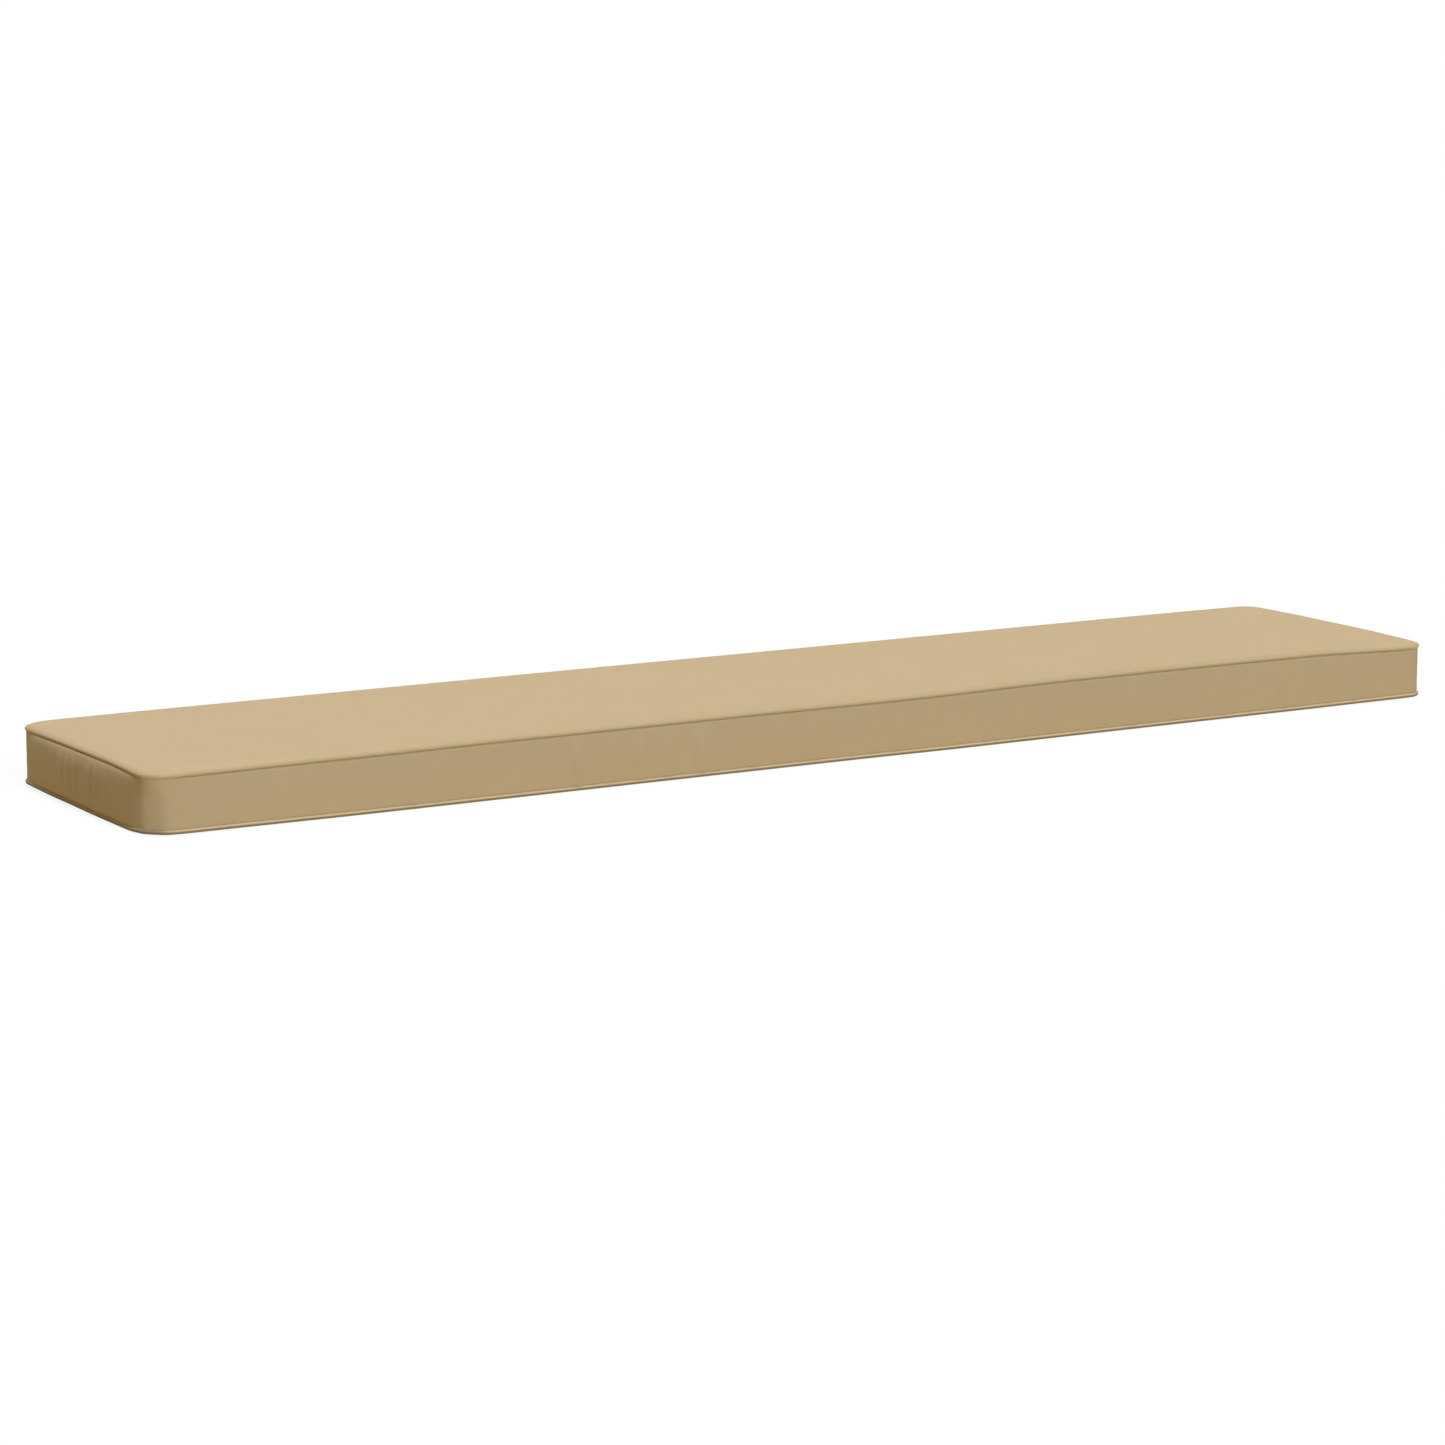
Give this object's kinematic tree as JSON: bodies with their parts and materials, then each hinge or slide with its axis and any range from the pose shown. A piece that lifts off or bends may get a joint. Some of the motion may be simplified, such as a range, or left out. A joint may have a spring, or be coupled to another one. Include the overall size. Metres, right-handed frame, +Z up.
{
  "type": "bench cushion",
  "caption": "Long, thin rectangular bench seat cushion with rounded corners, a boxing band and piped seams round the top and the underside.",
  "frame": {"origin": "centre of the underside's outline, on the surface that the cushion lies on", "axes": "+X along the length, +Y from the front edge to the back edge, +Z up out of the seat face"},
  "size_m": [2, 0.416, 0.0842],
  "materials": {
    "canvas": "plain-woven sand-beige outdoor canvas, matt, drawn smooth over the filling",
    "piping_cloth": "the same sand-beige canvas cut on the bias and sewn round a thin cord, matt"
  },
  "bodies": {
    "root": {"cushion": "canvas", "top_piping": "piping_cloth", "bottom_piping": "piping_cloth"}
  },
  "joints": []
}
